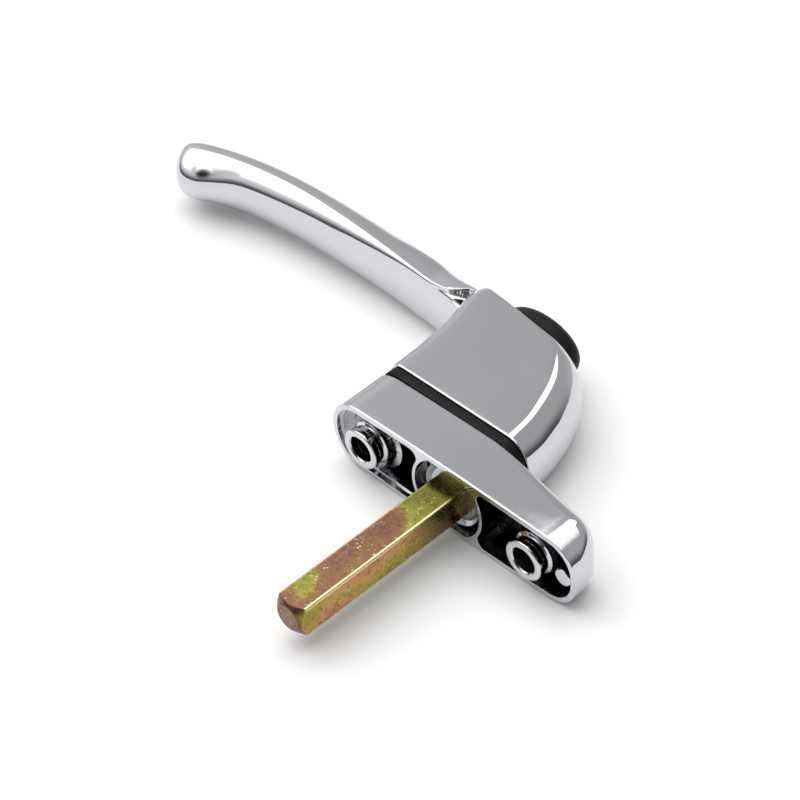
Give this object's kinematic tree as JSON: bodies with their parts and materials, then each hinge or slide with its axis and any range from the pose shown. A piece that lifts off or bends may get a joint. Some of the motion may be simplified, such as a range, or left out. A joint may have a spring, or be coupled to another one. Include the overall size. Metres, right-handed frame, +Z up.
{
  "type": "window handle lock",
  "caption": "Key-locking window handle: chromed lever on a hollow oblong base, black push button with key plug, square drive spindle.",
  "frame": {"origin": "on the spindle's axis, in the plane of the base's mounting rim", "axes": "+X along the closed lever, towards its tip; +Y into the sash along the spindle; +Z up from the flat side that the lock lies on"},
  "size_m": [0.1481, 0.0879, 0.0164],
  "materials": {
    "chrome": "bright chrome plating on die-cast zinc",
    "yellow_zinc": "yellow-passivated zinc with iridescent patches",
    "grey_zinc": "plain die-cast zinc",
    "spring_steel": "oiled spring steel",
    "bright_steel": "nickel-plated steel",
    "brass": "stamped brass",
    "black_plastic": "satin moulded plastic",
    "button_plastic": "fine-grained moulded plastic"
  },
  "bodies": {
    "base": {"base_plate": "chrome", "index_spring_upper": "spring_steel", "index_spring_lower": "spring_steel", "thrust_washer": "grey_zinc"},
    "lever": {"lever_handle": "chrome", "hub_gasket": "black_plastic", "drive_rotor": "grey_zinc", "spindle": "yellow_zinc", "spindle_pin": "spring_steel", "spring_washer": "spring_steel", "rotor_retainer": "grey_zinc", "return_spring": "spring_steel"},
    "button": {"button_cap": "button_plastic", "lock_barrel": "bright_steel", "barrel_pin": "bright_steel", "lock_pin": "bright_steel"},
    "plug": {"key_plug": "bright_steel", "wafer_1": "brass", "wafer_2": "brass", "wafer_3": "brass", "wafer_4": "brass", "wafer_5": "brass", "wafer_spring_1": "spring_steel", "wafer_spring_2": "spring_steel", "wafer_spring_3": "spring_steel", "wafer_spring_4": "spring_steel", "wafer_spring_5": "spring_steel", "plug_clip": "spring_steel", "plug_cam": "grey_zinc"},
    "catch": {"lock_catch": "grey_zinc"}
  },
  "joints": [
    {"name": "lever_turn", "type": "hinge", "parent": "base", "child": "lever", "pos_m": [0, 0, 0], "axis": [0, -1, 0], "range_deg": [0, 90], "deforming": ["index_spring_upper", "index_spring_lower"]},
    {"name": "button_push", "type": "slide", "parent": "lever", "child": "button", "axis": [0, 1, 0], "range_m": [0, 0.0035], "stiffness_N_per_m": 800, "springref_m": -0.002, "deforming": ["return_spring"]},
    {"name": "key_turn", "type": "hinge", "parent": "button", "child": "plug", "pos_m": [0.017, 0, 0], "axis": [0, -1, 0], "range_deg": [0, 90]},
    {"name": "catch_slide", "type": "slide", "parent": "button", "child": "catch", "axis": [1, 0, 0], "range_m": [-0.00141, 0]}
  ],
  "couplings": [
    {"joint": "key_turn", "follows": "catch_slide", "rad_per_m": -1110.7}
  ]
}
